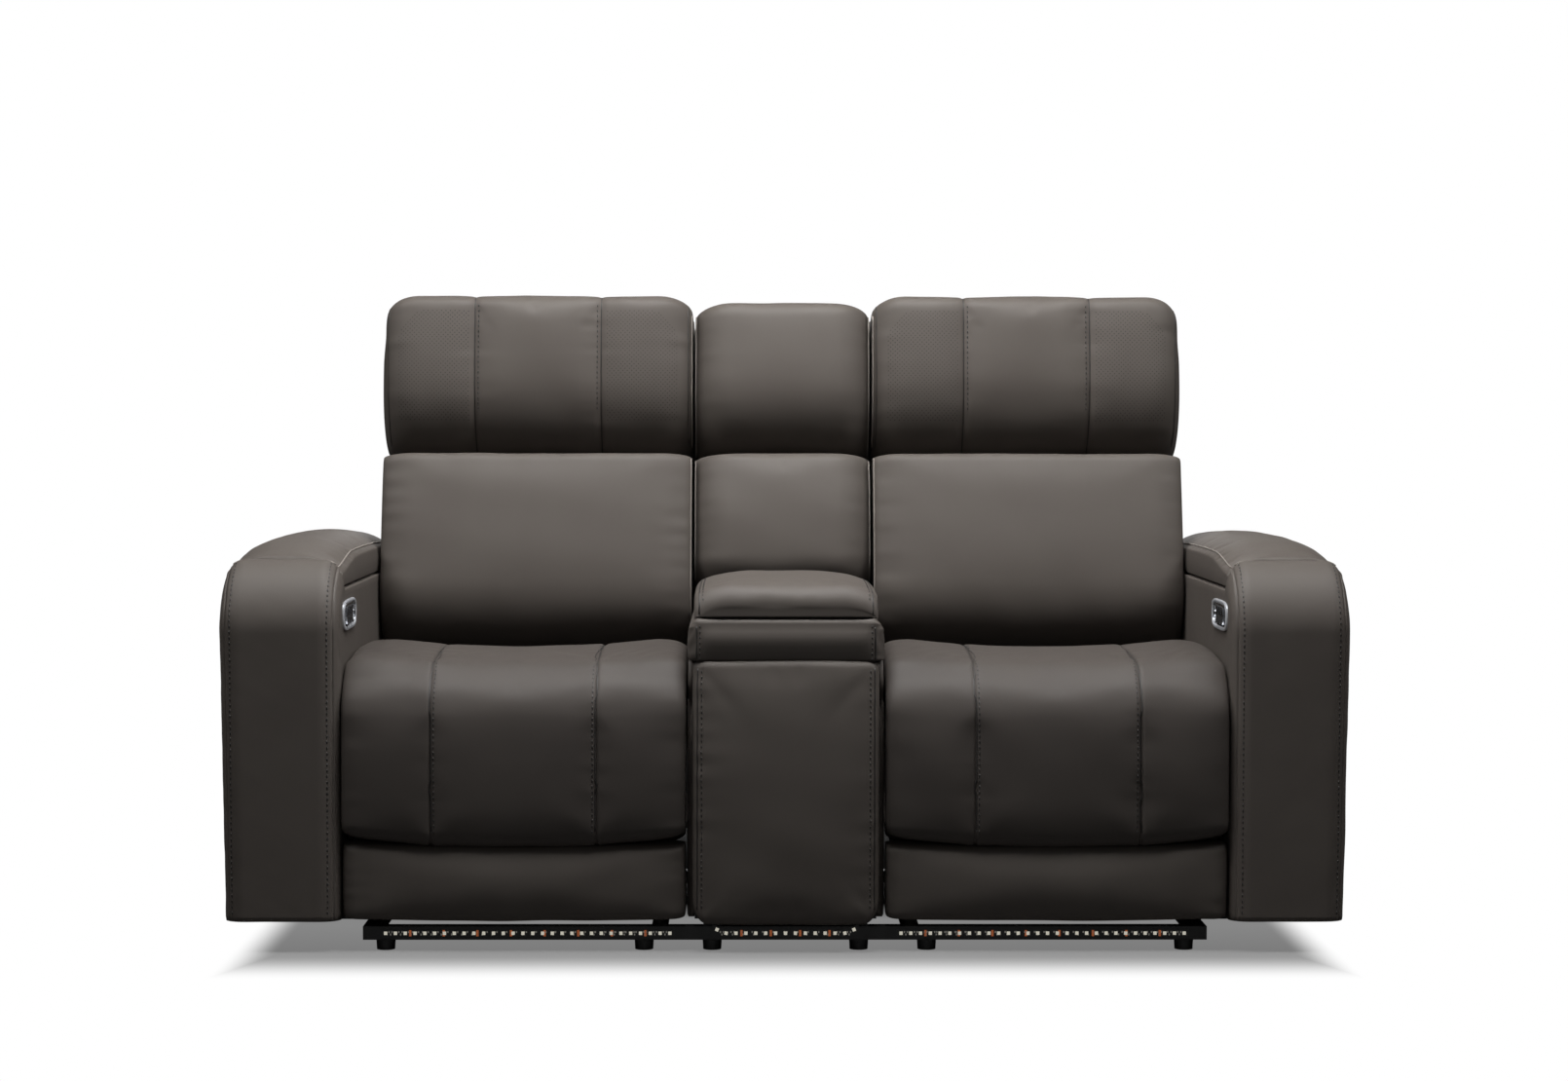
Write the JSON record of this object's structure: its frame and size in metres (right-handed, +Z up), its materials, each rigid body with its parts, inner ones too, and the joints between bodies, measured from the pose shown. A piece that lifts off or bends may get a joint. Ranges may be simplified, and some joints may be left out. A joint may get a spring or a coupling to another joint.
{
  "type": "cinema recliner seat",
  "caption": "Powered leather recliner loveseat with footrests, reclining backs, tilting headrests and a storage console under a hinged armrest lid.",
  "frame": {"origin": "on the floor, under the middle of the outline at rest", "axes": "+X to the viewer's right along the seat's width, +Y to the rear, +Z up"},
  "size_m": [1.916, 0.956, 1.1294],
  "materials": {
    "leather": "semi-matt grained leather, charcoal brown",
    "plywood": "raw birch plywood",
    "black_steel": "satin black powder coat",
    "zinc_steel": "zinc plated",
    "foot_plastic": "black moulded plastic",
    "light_tape": "black flexible tape with pale lamp chips",
    "black_plastic": "black moulded plastic",
    "switch_chrome": "satin chrome rim",
    "switch_black": "chromed plastic keys"
  },
  "bodies": {
    "root": {"base_frame": "black_steel", "feet": "foot_plastic", "led_strips": "light_tape", "power_supply": "black_plastic", "wiring_loom": "black_plastic", "arm_frames": "plywood", "arm_covers": "leather", "arm_pads": "leather", "switch_bezels": "switch_chrome", "console_box": "plywood", "console_front_panel": "leather", "console_collar": "leather", "lid_hinge_rod": "zinc_steel", "console_back_frame": "plywood", "console_back_pad": "leather", "console_head_pad": "leather"},
    "console_lid": {"console_lid_board": "plywood", "console_lid_pad": "leather"},
    "left_seat": {"left_mechanism_frame": "black_steel", "left_seat_deck": "plywood", "left_seat_cushion": "leather", "left_drive_motors": "black_plastic"},
    "left_back": {"left_back_frame": "plywood", "left_back_pad": "leather", "left_back_shell": "leather", "left_headrest_motor": "black_plastic"},
    "left_headrest": {"left_headrest_frame": "leather", "left_headrest_pad": "leather"},
    "left_footrest": {"left_footrest_board": "plywood", "left_footrest_upper_pad": "leather", "left_footrest_lower_pad": "leather"},
    "left_drive_links": {"left_footrest_drive_links": "black_steel"},
    "left_stay_links": {"left_footrest_stay_links": "black_steel"},
    "left_footrest_slider": {"left_footrest_slider": "zinc_steel"},
    "left_back_slider": {"left_back_slider": "zinc_steel"},
    "left_footrest_rocker": {"left_footrest_rocker": "switch_black"},
    "left_back_rocker": {"left_back_rocker": "switch_black"},
    "left_headrest_rocker": {"left_headrest_rocker": "switch_black"},
    "left_light_button": {"left_light_button": "switch_black"},
    "right_seat": {"right_mechanism_frame": "black_steel", "right_seat_deck": "plywood", "right_seat_cushion": "leather", "right_drive_motors": "black_plastic"},
    "right_back": {"right_back_frame": "plywood", "right_back_pad": "leather", "right_back_shell": "leather", "right_headrest_motor": "black_plastic"},
    "right_headrest": {"right_headrest_frame": "leather", "right_headrest_pad": "leather"},
    "right_footrest": {"right_footrest_board": "plywood", "right_footrest_upper_pad": "leather", "right_footrest_lower_pad": "leather"},
    "right_drive_links": {"right_footrest_drive_links": "black_steel"},
    "right_stay_links": {"right_footrest_stay_links": "black_steel"},
    "right_footrest_slider": {"right_footrest_slider": "zinc_steel"},
    "right_back_slider": {"right_back_slider": "zinc_steel"},
    "right_footrest_rocker": {"right_footrest_rocker": "switch_black"},
    "right_back_rocker": {"right_back_rocker": "switch_black"},
    "right_headrest_rocker": {"right_headrest_rocker": "switch_black"},
    "right_light_button": {"right_light_button": "switch_black"}
  },
  "joints": [
    {"name": "console_lid_hinge", "type": "hinge", "parent": "root", "child": "console_lid", "pos_m": [0, -0.02804, 0.563], "axis": [-1, 0, 0], "range_deg": [0, 75]},
    {"name": "left_recline", "type": "hinge", "parent": "left_seat", "child": "left_back", "pos_m": [-0.461, 0.22156, 0.32626], "axis": [-1, 0, 0], "range_deg": [0, 40]},
    {"name": "left_seat_glide", "type": "slide", "parent": "root", "child": "left_seat", "axis": [0, -1, 0], "range_m": [0, 0.075]},
    {"name": "left_back_slider_travel", "type": "slide", "parent": "left_seat", "child": "left_back_slider", "axis": [0, 1, 0], "range_m": [0, 0.08]},
    {"name": "left_footrest_fold", "type": "hinge", "parent": "left_seat", "child": "left_footrest", "pos_m": [-0.461, -0.43807, 0.44803], "axis": [-1, 0, 0], "range_deg": [0, 90]},
    {"name": "left_drive_link_swing", "type": "hinge", "parent": "left_seat", "child": "left_drive_links", "pos_m": [-0.461, -0.32004, 0.295], "axis": [-1, 0, 0], "range_deg": [0, 90]},
    {"name": "left_stay_link_swing", "type": "hinge", "parent": "left_footrest", "child": "left_stay_links", "pos_m": [-0.461, -0.37604, 0.245], "axis": [-1, 0, 0], "range_deg": [-90, 0]},
    {"name": "left_footrest_slider_travel", "type": "slide", "parent": "left_seat", "child": "left_footrest_slider", "axis": [0, -1, 0], "range_m": [0, 0.08]},
    {"name": "left_headrest_tilt", "type": "hinge", "parent": "left_back", "child": "left_headrest", "pos_m": [-0.461, 0.21614, 0.90197], "axis": [1, 0, 0], "range_deg": [0, 35]},
    {"name": "left_footrest_rocker_tip", "type": "hinge", "parent": "root", "child": "left_footrest_rocker", "pos_m": [-0.7575, -0.37904, 0.566], "axis": [0, 1, 0], "range_deg": [-5, 5], "stiffness_Nm_per_rad": 0.12},
    {"name": "left_back_rocker_tip", "type": "hinge", "parent": "root", "child": "left_back_rocker", "pos_m": [-0.7575, -0.35104, 0.566], "axis": [0, 1, 0], "range_deg": [-5, 5], "stiffness_Nm_per_rad": 0.12},
    {"name": "left_headrest_rocker_tip", "type": "hinge", "parent": "root", "child": "left_headrest_rocker", "pos_m": [-0.7575, -0.32304, 0.566], "axis": [0, 1, 0], "range_deg": [-5, 5], "stiffness_Nm_per_rad": 0.12},
    {"name": "left_light_button_press", "type": "slide", "parent": "root", "child": "left_light_button", "axis": [-1, 0, 0], "range_m": [0, 0.001], "stiffness_N_per_m": 500},
    {"name": "right_recline", "type": "hinge", "parent": "right_seat", "child": "right_back", "pos_m": [0.461, 0.22156, 0.32626], "axis": [-1, 0, 0], "range_deg": [0, 40]},
    {"name": "right_seat_glide", "type": "slide", "parent": "root", "child": "right_seat", "axis": [0, -1, 0], "range_m": [0, 0.075]},
    {"name": "right_back_slider_travel", "type": "slide", "parent": "right_seat", "child": "right_back_slider", "axis": [0, 1, 0], "range_m": [0, 0.08]},
    {"name": "right_footrest_fold", "type": "hinge", "parent": "right_seat", "child": "right_footrest", "pos_m": [0.461, -0.43807, 0.44803], "axis": [-1, 0, 0], "range_deg": [0, 90]},
    {"name": "right_drive_link_swing", "type": "hinge", "parent": "right_seat", "child": "right_drive_links", "pos_m": [0.461, -0.32004, 0.295], "axis": [-1, 0, 0], "range_deg": [0, 90]},
    {"name": "right_stay_link_swing", "type": "hinge", "parent": "right_footrest", "child": "right_stay_links", "pos_m": [0.461, -0.37604, 0.245], "axis": [-1, 0, 0], "range_deg": [-90, 0]},
    {"name": "right_footrest_slider_travel", "type": "slide", "parent": "right_seat", "child": "right_footrest_slider", "axis": [0, -1, 0], "range_m": [0, 0.08]},
    {"name": "right_headrest_tilt", "type": "hinge", "parent": "right_back", "child": "right_headrest", "pos_m": [0.461, 0.21614, 0.90197], "axis": [1, 0, 0], "range_deg": [0, 35]},
    {"name": "right_footrest_rocker_tip", "type": "hinge", "parent": "root", "child": "right_footrest_rocker", "pos_m": [0.7575, -0.37904, 0.566], "axis": [0, 1, 0], "range_deg": [-5, 5], "stiffness_Nm_per_rad": 0.12},
    {"name": "right_back_rocker_tip", "type": "hinge", "parent": "root", "child": "right_back_rocker", "pos_m": [0.7575, -0.35104, 0.566], "axis": [0, 1, 0], "range_deg": [-5, 5], "stiffness_Nm_per_rad": 0.12},
    {"name": "right_headrest_rocker_tip", "type": "hinge", "parent": "root", "child": "right_headrest_rocker", "pos_m": [0.7575, -0.32304, 0.566], "axis": [0, 1, 0], "range_deg": [-5, 5], "stiffness_Nm_per_rad": 0.12},
    {"name": "right_light_button_press", "type": "slide", "parent": "root", "child": "right_light_button", "axis": [1, 0, 0], "range_m": [0, 0.001], "stiffness_N_per_m": 500}
  ],
  "couplings": [
    {"joint": "left_seat_glide", "follows": "left_recline", "m_per_rad": 0.107},
    {"joint": "left_back_slider_travel", "follows": "left_recline", "m_per_rad": 0.114},
    {"joint": "left_drive_link_swing", "follows": "left_footrest_fold", "ratio": 1},
    {"joint": "left_stay_link_swing", "follows": "left_footrest_fold", "ratio": -1},
    {"joint": "left_footrest_slider_travel", "follows": "left_footrest_fold", "m_per_rad": 0.0509},
    {"joint": "right_seat_glide", "follows": "right_recline", "m_per_rad": 0.107},
    {"joint": "right_back_slider_travel", "follows": "right_recline", "m_per_rad": 0.114},
    {"joint": "right_drive_link_swing", "follows": "right_footrest_fold", "ratio": 1},
    {"joint": "right_stay_link_swing", "follows": "right_footrest_fold", "ratio": -1},
    {"joint": "right_footrest_slider_travel", "follows": "right_footrest_fold", "m_per_rad": 0.0509}
  ]
}
